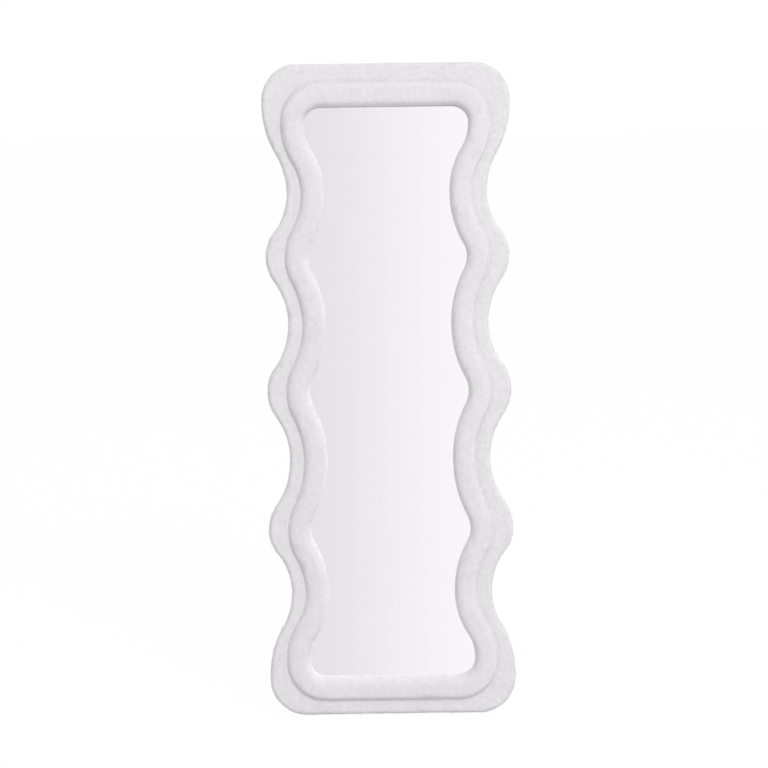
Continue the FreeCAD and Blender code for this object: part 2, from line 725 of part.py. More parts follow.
def make_hanger_strap(side):
    """A steel strap below its ring, curled into a loop round the ring's bar."""
    axis = ring_axis(side)
    corner = Vector(axis.x - STRAP_WIDTH / 2, -BACK_FACE, axis.z - STRAP_LENGTH)
    body = Part.makeBox(STRAP_WIDTH, STRAP_THICKNESS, STRAP_LENGTH, corner)
    lower = [e for e in body.Edges if abs(e.Length - STRAP_THICKNESS) < HOLE_GAP]
    lower = [e for e in lower if e.CenterOfMass.z < axis.z - STRAP_LENGTH / 2]
    body = body.makeFillet(STRAP_WIDTH / 2 - HOLE_GAP, lower)
    along = Vector(1, 0, 0)
    start = axis - along * (STRAP_WIDTH / 2)
    body = body.fuse(rod(start, along, loop_radius(), STRAP_WIDTH)).removeSplitter()
    hole_start = start - along * OVERRUN
    body = body.cut(rod(hole_start, along, WIRE_RADIUS + WIRE_GAP, STRAP_WIDTH + 2 * OVERRUN))
    back = BACK_FACE - STRAP_THICKNESS
    return drilled(body, hanger_screw_places(), back - OVERRUN, BACK_FACE + OVERRUN)


def make_hanger_screws():
    length = STRAP_THICKNESS + BACK_THICKNESS + SCREW_BITE
    return screws_at(hanger_screw_places(), BACK_FACE - STRAP_THICKNESS, length)


def make_hanger_ring(side):
    """A D-shaped wire ring that hangs straight down from its loop."""
    axis = ring_axis(side)
    bar = RING_REACH - RING_CORNER
    shift = RING_CORNER * (1 - math.sqrt(0.5))
    foot = RING_CORNER + RING_SIDE
    right = [
        [(bar, 0), (RING_REACH - shift, -shift), (RING_REACH, -RING_CORNER)],
        [(RING_REACH, -RING_CORNER), (RING_REACH, -foot)],
        [
            (RING_REACH, -foot),
            (RING_REACH * math.sqrt(0.5), -foot - RING_REACH * math.sqrt(0.5)),
            (0, -foot - RING_REACH),
        ],
    ]
    left = [[(-x, drop) for x, drop in reversed(run)] for run in reversed(right)]
    runs = right + left + [[(-bar, 0), (bar, 0)]]
    path = Part.Wire([edge([axis + Vector(x, 0, drop) for x, drop in run]) for run in runs])
    start = axis + Vector(bar, 0, 0)
    circle = Part.Wire(Part.makeCircle(WIRE_RADIUS, start, Vector(1, 0, 0)))
    sweep = Part.BRepOffsetAPI.MakePipeShell(path)
    sweep.setBiNormalMode(Vector(0, 1, 0))
    sweep.add(circle)
    sweep.build()
    sweep.makeSolid()
    return Part.Solid(sweep.shape()).rotated(axis, Vector(1, 0, 0), LEAN_ANGLE)


def make_foot_pad(side):
    """A rubber wedge under the bottom edge whose sole lies flat on the floor."""
    back, front = pad_depths()
    left = side * PAD_OFFSET - PAD_LENGTH / 2
    profile = []
    for depth in (back, front):
        drop = PAD_THICKNESS + (depth - back) * math.sin(LEAN)
        profile.append((point(left, depth, 0), drop))
    down = point(0, -math.sin(LEAN), -math.cos(LEAN))
    tops = [spot for spot, drop in profile]
    soles = [spot + down * drop for spot, drop in profile]
    outline = [tops[0], tops[1], soles[1], soles[0], tops[0]]
    body = Part.Face(Part.makePolygon(outline)).extrude(Vector(PAD_LENGTH, 0, 0))
    upright = [e for e in body.Edges if abs(e.tangentAt(e.FirstParameter).dot(down)) > math.cos(LEAN / 2)]
    return body.makeFillet(PAD_CORNER, upright)


def stance_shift():
    """The move along y that puts the origin midway between the front of the roll and the stand's foot."""
    crown_y = ROLL_LINE.bottom * math.sin(LEAN) - CROWN_DEPTH * math.cos(LEAN)
    front = crown_y - CROWN_RADIUS
    axis = pivot(1)
    axis_y = axis.z * math.sin(LEAN) + axis.y * math.cos(LEAN)
    back = axis_y + stand_length() * math.sin(STAND_TILT) + sleeve_radius()
    return -(front + back) / 2


def leaned(shape):
    """A piece of the upright panel in its place on the floor, leaning back."""
    turned = shape.rotated(Vector(), Vector(1, 0, 0), -LEAN_ANGLE)
    return turned.translated(Vector(0, stance_shift(), floor_lift()))


def all_pieces():
    """Every node's name with its shape in the upright panel."""
    pieces = {
        "base_frame": make_base_frame(),
        "roll_core": make_roll_core(),
        "roll_core_screws": make_core_screws(),
        "tier_padding": make_tier_padding(),
        "roll_padding": make_roll_padding(),
        "tier_cover": make_tier_cover(),
        "roll_cover": make_roll_cover(),
        "mirror_glass": make_mirror_glass(),
        "safety_film": make_safety_film(),
        "filler_sheet": make_filler_sheet(),
        "back_panel": make_back_panel(),
        "back_panel_screws": make_back_screws(),
        "cover_staples": make_cover_staples(),
        "hinge_bracket_screws": make_bracket_screws(),
        "hanger_screws": make_hanger_screws(),
        "stand_tube": make_stand_tube(),
    }
    makers = {
        "hinge_bracket": make_hinge_bracket,
        "pivot_bolt": make_pivot_bolt,
        "pivot_nut": make_pivot_nut,
        "stand_bush": make_stand_bush,
        "stand_plug": make_stand_plug,
        "stand_sleeve": make_stand_sleeve,
        "hanger_strap": make_hanger_strap,
        "hanger_ring": make_hanger_ring,
        "foot_pad": make_foot_pad,
    }
    for name, make in makers.items():
        for side, word in ((-1, "left"), (1, "right")):
            pieces[f"{name}_{word}"] = make(side)
    return pieces


def main():
    os.makedirs("parts", exist_ok=True)
    for name, shape in all_pieces().items():
        placed = leaned(shape)
        placed.exportStep(f"parts/{name}.step")
        volume = sum(solid.Volume for solid in placed.Solids)
        print(f"{name}: {len(placed.Solids)} solids, {volume:.1f} mm3, valid {placed.isValid()}")


main()
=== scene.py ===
import json
import math

import bpy
import numpy as np
from mathutils import Matrix, Vector, noise


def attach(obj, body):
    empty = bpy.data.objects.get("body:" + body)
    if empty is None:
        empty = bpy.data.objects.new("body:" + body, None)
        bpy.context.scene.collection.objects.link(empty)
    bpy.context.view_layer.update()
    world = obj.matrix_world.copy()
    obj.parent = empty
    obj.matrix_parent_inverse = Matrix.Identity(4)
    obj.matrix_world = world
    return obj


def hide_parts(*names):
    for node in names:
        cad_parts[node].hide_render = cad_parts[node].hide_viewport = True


# Looks of a full-length floor mirror with a wavy plush frame. Lengths are metres and angles degrees.
# The panel is drawn upright and leaned back by to_world: x runs to the right seen from the front,
# depth runs forward from the back of the wooden frame, height runs up the panel.

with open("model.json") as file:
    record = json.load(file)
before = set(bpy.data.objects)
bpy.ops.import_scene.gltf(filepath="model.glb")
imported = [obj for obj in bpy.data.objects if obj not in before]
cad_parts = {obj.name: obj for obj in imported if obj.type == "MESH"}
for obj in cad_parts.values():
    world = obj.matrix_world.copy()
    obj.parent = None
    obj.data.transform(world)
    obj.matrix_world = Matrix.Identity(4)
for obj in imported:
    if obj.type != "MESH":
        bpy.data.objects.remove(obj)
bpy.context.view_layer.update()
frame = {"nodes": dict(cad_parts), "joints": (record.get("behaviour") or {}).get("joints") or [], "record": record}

# Panel outline, as in the solids
PANEL_HEIGHT = 1.6
TOP_CORNER_REACH = 0.305
BOTTOM_CORNER_REACH = 0.301
CREST_REACH = 0.3
WAIST_REACH = 0.246
CORNER_RADIUS = 0.088
SHOULDER_RUN = 0.012
WAVE_HEIGHT_SHARES = (0.8025, 0.705, 0.5995, 0.497, 0.392, 0.283, 0.1875)
CREST_ROUND_SHARE = 0.365
SHOULDER_ROUND_SHARE = 0.56

# Middle line of the roll, as in the solids
ROLL_WIDTH = 0.056
TIER_TOP_WIDTH = 0.045
TIER_BOTTOM_WIDTH = 0.038
TOP_CORNER_GAP = 0.046
BOTTOM_CORNER_GAP = 0.042
TIER_CREST_WIDTH = 0.048
TIER_WAIST_WIDTH = 0.035
ROLL_CORNER_RADIUS = 0.068
ROLL_SHOULDER_RUN = 0.006
ROLL_CREST_ROUND_SHARE = 0.29
ROLL_SHOULDER_ROUND_SHARE = 0.45

# Section of the plush: layers, flap and stance are those of the solids, while the tier's front edge is
# tighter and the roll's arch fuller
COVER_THICKNESS = 0.003
FIT_GAP = 0.0003
BASE_THICKNESS = 0.018
TIER_FRONT = 0.036
TIER_EDGE_RADIUS = 0.01
BACK_EDGE_RADIUS = 0.006
CORE_FRONT = 0.03
CROWN_HEIGHT = 0.0191
FLAP_WIDTH = 0.028
LEAN_ANGLE = 9.0
PIVOT_DEPTH = -0.02
PIVOT_DROP = 0.006

# How full the sides of the roll are: the outer one where it faces down and elsewhere, the inner one
# along the bottom, the sides and the top, where it also droops over the glass
CROWN_FULLNESSES = (4.5, 2.35)
INNER_FULLNESSES = (2.0, 2.8, 5.0)
TOP_DROOP_SHARE = 0.14

# Soft valley that the pile makes of the crease beside the roll
VALLEY_WIDTH = 0.008
VALLEY_EASE = 0.0045
VALLEY_PULL = 0.007
VALLEY_WANDER_SHARE = 0.35
TOUCH_RISE = 0.0032
TOUCH_GAP = 0.00005
CREASE_FADE = 0.004

# Density of the plush meshes, height of their unevenness and bands of their maps
STEP = 0.003
LENGTH_SAMPLES = 33
TUCK_ROWS = 4
PUFF_SIZE = 0.09
PUFF_HEIGHT = 0.0008
CLUMP_SIZE = 0.013
CLUMP_HEIGHT = 0.0006
NAP_SIZE = 0.0055
NAP_HEIGHT = 0.0004
PLEAT_SIZE = 0.014
PLEAT_HEIGHT = 0.0008
PLEAT_SMOOTHING = 20
FLOOR_GAP = 0.0002
BAKE_BANDS = 8
BAKE_MARGIN_SHARE = 0.004

# Locks of pile that lie on the plush: each is a bent blade of a quad and a pointed tip. How far they
# stray from the lay is in radians, and unlike spreads how high they rise
LOCK_COUNT = 64000
LOCK_FACES = ((0, 1, 2, 3), (3, 2, 4))
LOCK_LENGTH = 0.0085
LOCK_LEAST_SHARE = 0.7
LOCK_SPREAD_SHARE = 0.6
LOCK_WIDTH = 0.0011
LOCK_RISES = (13.0, 5.0)
LOCK_STRAY = 0.5
LOCK_UNLIKE = 0.35
LOCK_ROOT = 0.0002
LOCK_MIDDLE_SHARE = 0.45
LOCK_TAPER_SHARE = 0.75
LAY_SIZE = 0.045

# Columns of the sweeps that carry no pile: along the edge of the flap, behind the crease, low on the
# roll's outer side and beside the glass
FLAP_COLUMNS = 2
HIDDEN_COLUMNS = 7
SIDE_COLUMNS = 2
FOOT_COLUMNS = 4

# Grain of the materials and depth of its relief
PLUSH_CLOUD = 0.05
PLUSH_CLUMP = 0.011
PLUSH_CLUMP_DEPTH = 0.0015
PLUSH_FIBRE = 0.0022
PLUSH_FIBRE_DEPTH = 0.0008
FOAM_PORE = 0.0025
FOAM_PORE_DEPTH = 0.001
BOARD_GRAIN = 0.006
BOARD_GRAIN_DEPTH = 0.0005
HARDBOARD_CLOUD = 0.12
HARDBOARD_FIBRE = 0.0016
HARDBOARD_FIBRE_DEPTH = 0.0004
MIRROR_DUST = 0.03
FILM_LINE = 0.004
FILM_LINE_DEPTH = 0.0002
ZINC_SPANGLE = 0.0025
ZINC_SPANGLE_DEPTH = 0.0002
COAT_CLOUD = 0.07
COAT_PEEL = 0.0016
COAT_PEEL_DEPTH = 0.0003
PLASTIC_CLOUD = 0.02
PLASTIC_GRAIN = 0.0012
PLASTIC_GRAIN_DEPTH = 0.0002

# Camera, its sensor in millimetres, and where the panel lies in the photograph, in pixels, and how far
# it is turned there
CAMERA_DISTANCE = 5.0
SENSOR = 36.0
PHOTO_SIDE = 768
PHOTO_HEIGHT = 649
PHOTO_CENTRE = (389.3, 388.2)
PHOTO_TURN = 0.77

# Light: a lamp, soft light from all round that is brighter from one side, and the room that mirrors
# see, whose strength swells along an axis between two places, from one value to another
LAMP_AZIMUTH = 29.0
LAMP_ELEVATION = 43.0
LAMP_DISTANCE = 9.5
LAMP_SIZE = 2.9
LAMP_POWER = 336.0
BRIGHT_SIDE = (0.92, -0.25, 0.2)
BRIGHT_LEVEL = 0.87
DIM_LEVEL = 0.6
WHITE = (1, 1, 1, 1)
ROOM_LEFT = (0.82, 0.805, 0.82, 1)
ROOM_RIGHT = (1.0, 0.985, 1.0, 1)
ROOM_EDGE = 0.05
ROOM_SWELLS = (("X", 0.1, 0.5, 1.0, 2.0), ("X", -0.5, -0.1, 0.9, 1.0), ("Z", 0.3, 0.7, 1.0, 1.7))
FLOOR_REACH = 40.0
FLOOR_GREY = (0.78, 0.78, 0.78, 1)
FLOOR_GLOW = 1.012
FLOOR_GLOW_SHARE = 0.95

# Values that follow from the sizes above
HALF_ROLL = ROLL_WIDTH / 2
PIXEL = PANEL_HEIGHT / PHOTO_HEIGHT
TOUCH_FRONT = TIER_FRONT + TOUCH_RISE
LEAN = math.radians(LEAN_ANGLE)
PIVOT_HEIGHT = WAVE_HEIGHT_SHARES[2] * PANEL_HEIGHT - PIVOT_DROP


class WavyLine:
    """A closed outline, alike on both sides, as runs that give points and outward normals."""

    def __init__(self, top, bottom, top_reach, bottom_reach, crest, waist, corner, run, round_shares):
        turns = [(top_reach, top - corner - run, True)]
        for index, share in enumerate(WAVE_HEIGHT_SHARES):
            is_crest = index % 2 == 1
            turns.append((crest if is_crest else waist, share * PANEL_HEIGHT, is_crest))
        turns.append((bottom_reach, bottom + corner + run, True))
        first, last = turns[0], turns[-1]
        top_centre = (top_reach - corner, top - corner)
        bottom_centre = (bottom_reach - corner, bottom + corner)
        self.runs = [straight((0, top), (top_centre[0], top))]
        self.runs.append(arc(top_centre, corner, 90, 0))
        self.runs.append(straight((top_reach, top_centre[1]), first[:2]))
        for index, (upper, lower) in enumerate(zip(turns, turns[1:])):
            at_corner = index in (0, len(turns) - 2)
            self.runs += wave_arcs(upper, lower, round_shares[1 if at_corner else 0])
        self.runs.append(straight(last[:2], (bottom_reach, bottom_centre[1])))
        self.runs.append(arc(bottom_centre, corner, 0, -90))
        self.runs.append(straight((bottom_centre[0], bottom), (0, bottom)))

    def counts(self):
        """How many steps each run of the right-hand side takes."""
        counts = []
        for run in self.runs:
            spots, _ = run(np.linspace(0, 1, LENGTH_SAMPLES))
            length = np.linalg.norm(np.diff(spots, axis=0), axis=1).sum()
            counts.append(max(2, math.ceil(length / STEP)))
        return counts

    def stations(self, counts):
        """Points and outward normals round the whole outline, from the middle of the top."""
        spots, normals = [], []
        for run, count in zip(self.runs, counts):
            here, out = run(np.arange(count) / count)
            spots.append(here)
            normals.append(out)
        right = np.concatenate(spots), np.concatenate(normals)
        end, end_out = self.runs[-1](np.array([1.0]))
        flip = np.array([-1, 1])
        both = []
        for side, last in zip(right, (end, end_out)):
            both.append(np.concatenate([side, last, side[:0:-1] * flip]))
        return both


def straight(start, end):
    """A straight run, its outward side on the left of its way."""
    start, end = np.array(start), np.array(end)
    along = (end - start) / np.linalg.norm(end - start)
    out = np.array([-along[1], along[0]])
    return lambda t: (start + t[:, None] * (end - start), np.repeat(out[None], len(t), axis=0))


def arc(centre, radius, start, end, outward=1):
    """An arc between two angles; outward is -1 where the centre lies outside the outline."""
    centre = np.array(centre)

    def run(t):
        angle = np.radians(start + t * (end - start))
        ray = np.stack([np.cos(angle), np.sin(angle)], axis=1)
        return centre + radius * ray, outward * ray

    return run


def wave_arcs(upper, lower, share):
    """The two tangent arcs between a crest or corner and its neighbouring waist."""
    out, inn = (upper, lower) if upper[2] else (lower, upper)
    drop = upper[1] - lower[1]
    turn = 2 * math.atan2(out[0] - inn[0], drop)
    round_out = share * drop / math.sin(turn)
    round_in = (1 - share) * drop / math.sin(turn)
    angle = math.degrees(turn)
    out_centre = (out[0] - round_out, out[1])
    in_centre = (inn[0] + round_in, inn[1])
    if upper[2]:
        return [arc(out_centre, round_out, 0, -angle), arc(in_centre, round_in, 180 - angle, 180, -1)]
    return [arc(in_centre, round_in, 180, 180 + angle, -1), arc(out_centre, round_out, angle, 0)]


OUTER_LINE = WavyLine(
    PANEL_HEIGHT,
    0,
    TOP_CORNER_REACH,
    BOTTOM_CORNER_REACH,
    CREST_REACH,
    WAIST_REACH,
    CORNER_RADIUS,
    SHOULDER_RUN,
    (CREST_ROUND_SHARE, SHOULDER_ROUND_SHARE),
)
ROLL_LINE = WavyLine(
    PANEL_HEIGHT - TIER_TOP_WIDTH - HALF_ROLL,
    TIER_BOTTOM_WIDTH + HALF_ROLL,
    TOP_CORNER_REACH - TOP_CORNER_GAP - HALF_ROLL,
    BOTTOM_CORNER_REACH - BOTTOM_CORNER_GAP - HALF_ROLL,
    CREST_REACH - TIER_CREST_WIDTH - HALF_ROLL,
    WAIST_REACH - TIER_WAIST_WIDTH - HALF_ROLL,
    ROLL_CORNER_RADIUS,
    ROLL_SHOULDER_RUN,
    (ROLL_CREST_ROUND_SHARE, ROLL_SHOULDER_ROUND_SHARE),
)


def crown_fullness(out):
    """How full the outer side of the roll is by the way it faces: fullest where it faces down."""
    return np.interp(out[:, 1], (-1, 0), CROWN_FULLNESSES)


def roll_side(depth, fullness):
    """How far the outer side of the roll stands out from its middle line at a depth."""
    rise = (depth - CORE_FRONT) / CROWN_HEIGHT
    return HALF_ROLL * (1 - rise**fullness) ** (1 / fullness)


def roll_draw(depth, fullness):
    """How much the outer side of the roll draws in for each length of depth."""
    rise = (depth - CORE_FRONT) / CROWN_HEIGHT
    aside = roll_side(depth, fullness) / HALF_ROLL
    return HALF_ROLL / CROWN_HEIGHT * (rise / aside) ** (fullness - 1)


def valley(edge, edge_out):
    """Sections of the crease as (inset, rise, share) triples: they leave the tier's front, dip and run
    up into the side of the roll. The dip wanders along the edge."""
    wander = np.array([noise.noise(Vector((x, 0, z)) / PUFF_SIZE) for x, z in edge])
    pull = VALLEY_PULL * (1 + VALLEY_WANDER_SHARE * wander)
    steer_inset = VALLEY_WIDTH - pull * roll_draw(TOUCH_FRONT, crown_fullness(edge_out))
    steer_rise = TOUCH_RISE - pull
    section = []
    for t in shares(2 * VALLEY_WIDTH):
        early, late, last = 3 * t * (1 - t) ** 2, 3 * t**2 * (1 - t), t**3
        inset = early * VALLEY_EASE + late * steer_inset + last * VALLEY_WIDTH
        section.append((inset, late * steer_rise + last * TOUCH_RISE, t))
    return section


def hinge_place():
    """The stand's hinge axis on the centre line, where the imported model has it."""
    joint = next(joint for joint in frame["joints"] if joint["name"] == "stand_fold")
    return joint["pos_m"]


def to_world(points):
    """Panel points (x, depth, height) in their place on the floor, leaning back."""
    points = np.asarray(points, float)
    _, y, z = hinge_place()
    depth = points[..., 1] - PIVOT_DEPTH
    height = points[..., 2] - PIVOT_HEIGHT
    moved = np.empty_like(points)
    moved[..., 0] = points[..., 0]
    moved[..., 1] = y + height * math.sin(LEAN) - depth * math.cos(LEAN)
    moved[..., 2] = z + height * math.cos(LEAN) + depth * math.sin(LEAN)
    return moved


def widths_to(spots, ways, line):
    """How far each spot lies from a closed line, measured along the spot's own way."""
    starts = line[None] - spots[:, None]
    ends = np.roll(line, -1, axis=0)[None] - spots[:, None]
    ways = ways[:, None]
    start_side = starts[..., 0] * ways[..., 1] - starts[..., 1] * ways[..., 0]
    end_side = ends[..., 0] * ways[..., 1] - ends[..., 1] * ways[..., 0]
    start_reach = (starts * ways).sum(-1)
    end_reach = (ends * ways).sum(-1)
    crossed = (start_side * end_side <= 0) & (start_side != end_side)
    share = start_side / np.where(crossed, start_side - end_side, 1)
    reach = start_reach + share * (end_reach - start_reach)
    return np.where(crossed & (reach > 0), reach, np.inf).min(axis=1)


def column(base, out, inset, depth):
    """One lengthwise row of a sweep: the outline moved in by inset, at a depth."""
    spots = base - out * np.reshape(inset, (-1, 1))
    return np.stack([spots[:, 0], np.broadcast_to(depth, len(spots)), spots[:, 1]], axis=1)


def shares(length):
    """Even shares from zero up to, not including, one, a step apart along a length."""
    count = max(2, math.ceil(length / STEP))
    return np.arange(count) / count


def quarter(radius):
    """Angles of a quarter turn in steps along a rounding."""
    return shares(radius * math.pi / 2) * math.pi / 2


def tier_columns():
    """The tier's plush from the edge of its back flap round to the crease, and back inside."""
    edge, edge_out = OUTER_LINE.stations(OUTER_LINE.counts())
    roll, roll_out = ROLL_LINE.stations(ROLL_LINE.counts())
    touch = roll_side(TOUCH_FRONT, crown_fullness(roll_out)) + TOUCH_GAP
    width = widths_to(edge, -edge_out, roll + roll_out * touch[:, None])
    rows, weights = [], []

    def add(row, weight):
        rows.append(row)
        weights.append(weight)

    flat = FLAP_WIDTH - BACK_EDGE_RADIUS
    for share in shares(flat):
        add(column(edge, edge_out, FLAP_WIDTH - share * flat, -COVER_THICKNESS), min(1, 2 * share))
    for angle in quarter(BACK_EDGE_RADIUS):
        inset = BACK_EDGE_RADIUS * (1 - math.sin(angle))
        add(column(edge, edge_out, inset, BACK_EDGE_RADIUS * (1 - math.cos(angle)) - COVER_THICKNESS), 1)
    low = BACK_EDGE_RADIUS - COVER_THICKNESS
    high = TIER_FRONT - TIER_EDGE_RADIUS
    for share in shares(high - low):
        add(column(edge, edge_out, 0, low + share * (high - low)), 1)
    for angle in quarter(TIER_EDGE_RADIUS):
        inset = TIER_EDGE_RADIUS * (1 - math.cos(angle))
        add(column(edge, edge_out, inset, high + TIER_EDGE_RADIUS * math.sin(angle)), 1)
    flat = width - TIER_EDGE_RADIUS - VALLEY_WIDTH
    for share in shares(TIER_CREST_WIDTH):
        add(column(edge, edge_out, TIER_EDGE_RADIUS + share * flat, TIER_FRONT), 1)
    for inset, rise, share in valley(edge, edge_out):
        add(column(edge, edge_out, width - VALLEY_WIDTH + inset, TIER_FRONT + rise), 1 - share**2)
    add(column(edge, edge_out, width, TOUCH_FRONT), 0)
    fullness = crown_fullness(edge_out)
    middle = width + roll_side(TOUCH_FRONT, fullness) + TOUCH_GAP - FIT_GAP
    for depth in np.linspace(TOUCH_FRONT, CORE_FRONT, TUCK_ROWS)[1:]:
        add(column(edge, edge_out, middle - roll_side(depth, fullness), depth), 0)
    add(column(edge, edge_out, middle - HALF_ROLL, BASE_THICKNESS + FIT_GAP), 0)
    inner = COVER_THICKNESS + FIT_GAP / 2
    add(column(edge, edge_out, inner, BASE_THICKNESS + FIT_GAP), 0)
    add(column(edge, edge_out, inner, -FIT_GAP), 0)
    add(column(edge, edge_out, FLAP_WIDTH, -FIT_GAP), 0)
    return np.stack(rows, axis=1), np.array(weights)


def arch(height, fullness):
    """Half an arch over the roll as (aside, rise) pairs, from its side up to, not with, its top."""
    power = 2 / fullness
    half = []
    for angle in quarter(HALF_ROLL):
        half.append((HALF_ROLL * math.cos(angle) ** power, height * math.sin(angle) ** power))
    return half


def roll_columns():
    """The roll's plush from its foot at the crease over the crown to its foot on the glass."""
    roll, out = ROLL_LINE.stations(ROLL_LINE.counts())
    foot = BASE_THICKNESS + FIT_GAP
    wall = CORE_FRONT - foot
    fullness = crown_fullness(out)
    touch = roll_side(TOUCH_FRONT, fullness)
    rows, weights = [], []
    for share in shares(wall):
        rows.append(column(roll, out, -HALF_ROLL, foot + share * wall))
        weights.append(0)
    for aside, rise in arch(CROWN_HEIGHT, fullness):
        rows.append(column(roll, out, -aside, CORE_FRONT + rise))
        weights.append(np.clip((touch - aside).mean() / CREASE_FADE, 0, 1))
    rows.append(column(roll, out, 0, CORE_FRONT + CROWN_HEIGHT))
    weights.append(1)
    fullness = np.interp(out[:, 1], (-1, 0, 1), INNER_FULLNESSES)
    droop = 1 + TOP_DROOP_SHARE * np.maximum(0, out[:, 1])
    for aside, rise in reversed(arch(wall + CROWN_HEIGHT, fullness)):
        rows.append(column(roll, out, aside * droop, foot + rise))
        weights.append(np.clip((HALF_ROLL - aside.mean()) / CREASE_FADE, 0, 1))
    return np.stack(rows, axis=1), np.array(weights)


def add_object(name, data):
    """An object for a mesh, camera or lamp, in the scene."""
    thing = bpy.data.objects.new(name, data)
    bpy.context.scene.collection.objects.link(thing)
    return thing


def sweep_mesh(name, grid):
    """A closed ring of quads from a grid of stations by columns, with a map in straight bands."""
    stations, columns = grid.shape[:2]
    along = np.arange(stations)[:, None]
    across = np.arange(columns)[None]
    ahead = (along + 1) % stations
    beside = (across + 1) % columns
    corners = []
    for row, line in ((along, across), (ahead, across), (ahead, beside), (along, beside)):
        corners.append(row * columns + line)
    faces = np.stack(corners, axis=-1).reshape(-1, 4)
    mesh = bpy.data.meshes.new(name)
    mesh.from_pydata(grid.reshape(-1, 3), [], faces.tolist())
    mesh.polygons.foreach_set("use_smooth", np.ones(len(faces), bool))
    add_bands(mesh, stations, columns)
    mesh.update()
    return add_object(name, mesh)


def band_place(along, across, stations, columns, first):
    """Where a spot of a sweep lies on its map: the ring is cut into equal lengths, laid out as
    bands above one another. The band is that of first, the station where the face starts."""
    per_band = math.ceil(stations / BAKE_BANDS)
    band = first // per_band
    length = 1 - 2 * BAKE_MARGIN_SHARE
    width = 1 / BAKE_BANDS - 2 * BAKE_MARGIN_SHARE
    u = BAKE_MARGIN_SHARE + length * (along - band * per_band) / per_band
    v = band / BAKE_BANDS + BAKE_MARGIN_SHARE + width * across / columns
    return np.stack([u, v], axis=-1)


def add_bands(mesh, stations, columns):
    """A map for baking a sweep in straight bands."""
    along, across = np.meshgrid(np.arange(stations), np.arange(columns), indexing="ij")
    corners = []
    for ahead, beside in ((0, 0), (1, 0), (1, 1), (0, 1)):
        corners.append(band_place(along + ahead, across + beside, stations, columns, along))
    layer = mesh.uv_layers.new(name="OFBake")
    layer.data.foreach_set("uv", np.stack(corners, axis=2).ravel())


def unevenness(spot):
    """How far the plush stands out at a point: slow puffs, clumps of pile and the nap."""
    puff = noise.noise(spot / PUFF_SIZE)
    clump = noise.noise(spot / CLUMP_SIZE)
    nap = noise.noise(spot / NAP_SIZE)
    return PUFF_HEIGHT * puff + CLUMP_HEIGHT * clump + NAP_HEIGHT * nap


def ruffle(piece, weights):
    """Moves each point of a sweep along its normal by its column's share of the unevenness."""
    mesh = piece.data
    count = len(mesh.vertices)
    spots = np.empty(count * 3)
    normals = np.empty(count * 3)
    mesh.vertices.foreach_get("co", spots)
    mesh.vertices.foreach_get("normal", normals)
    spots = spots.reshape(-1, 3)
    heights = np.array([unevenness(Vector(spot)) for spot in spots])
    lift = np.tile(weights, count // len(weights)) * heights
    spots += lift[:, None] * normals.reshape(-1, 3)
    spots[:, 2] = np.maximum(spots[:, 2], FLOOR_GAP)
    mesh.vertices.foreach_set("co", spots.ravel())
    mesh.update()
    return spots.reshape(-1, len(weights), 3)


def pleat(grid, flap_columns):
    """Gathers the stapled flap into small pleats where the outline turns round a convex bend."""
    edge = grid[:, 0, ::2]
    ahead = np.roll(edge, -1, axis=0) - edge
    angle = np.unwrap(np.arctan2(ahead[:, 1], ahead[:, 0]))
    bend = -np.gradient(angle) / np.linalg.norm(ahead, axis=1)
    around = np.concatenate([bend[-PLEAT_SMOOTHING:], bend, bend[:PLEAT_SMOOTHING]])
    window = 2 * PLEAT_SMOOTHING + 1
    bend = np.convolve(around, np.ones(window) / window, mode="valid")
    amount = np.clip(bend * CORNER_RADIUS / 2, 0, 1)
    length = np.cumsum(np.linalg.norm(ahead, axis=1))
    wave = np.sin(2 * math.pi * length / PLEAT_SIZE + 2 * np.sin(length / PUFF_SIZE))
    for index in range(flap_columns):
        fade = 1 - index / flap_columns
        grid[:, index, 1] += PLEAT_HEIGHT * amount * wave * fade
    return grid


def unit(vectors):
    return vectors / np.linalg.norm(vectors, axis=-1, keepdims=True)


def lay_angle(spot):
    """The way the pile is brushed at a point, which wanders slowly over the plush."""
    return math.pi * (noise.noise(spot / LAY_SIZE) + noise.noise(spot / CLUMP_SIZE) / 2)


def scatter(grid, columns, rng):
    """Random spots on some columns of a sweep, even over its area, as places along and across."""
    first, last = columns
    span = last - first
    corner = grid[:, first:last]
    along = np.roll(corner, -1, axis=0) - corner
    across = grid[:, first + 1 : last + 1] - corner
    area = np.linalg.norm(np.cross(along, across), axis=-1).ravel()
    face = np.searchsorted(np.cumsum(area) / area.sum(), rng.random(LOCK_COUNT))
    along_places = face // span + rng.random(LOCK_COUNT)
    return along_places, first + face % span + rng.random(LOCK_COUNT)


def lock_spots(root, up, ahead, beside, rng):
    """The five corners of each lock: two at its root, two at its bend and its tip."""
    count = len(root)
    angle = np.array([lay_angle(Vector(spot)) for spot in root])
    angle += LOCK_STRAY * rng.standard_normal(count)
    lay = ahead * np.cos(angle)[:, None] + beside * np.sin(angle)[:, None]
    length = LOCK_LENGTH * (LOCK_LEAST_SHARE + LOCK_SPREAD_SHARE * rng.random((count, 1)))
    unlike = np.exp(LOCK_UNLIKE * rng.standard_normal((count, 1)))
    rises = [np.minimum(math.radians(turn) * unlike, math.pi / 2) for turn in LOCK_RISES]
    ways = [lay * np.cos(rise) + up * np.sin(rise) for rise in rises]
    half = np.cross(up, lay) * LOCK_WIDTH / 2
    start = root - up * LOCK_ROOT
    middle = root + ways[0] * length * LOCK_MIDDLE_SHARE
    tip = middle + ways[1] * length * (1 - LOCK_MIDDLE_SHARE)
    taper = half * LOCK_TAPER_SHARE
    spots = np.stack([start + half, start - half, middle - taper, middle + taper, tip], axis=1)
    spots[..., 2] = np.maximum(spots[..., 2], FLOOR_GAP)
    return spots


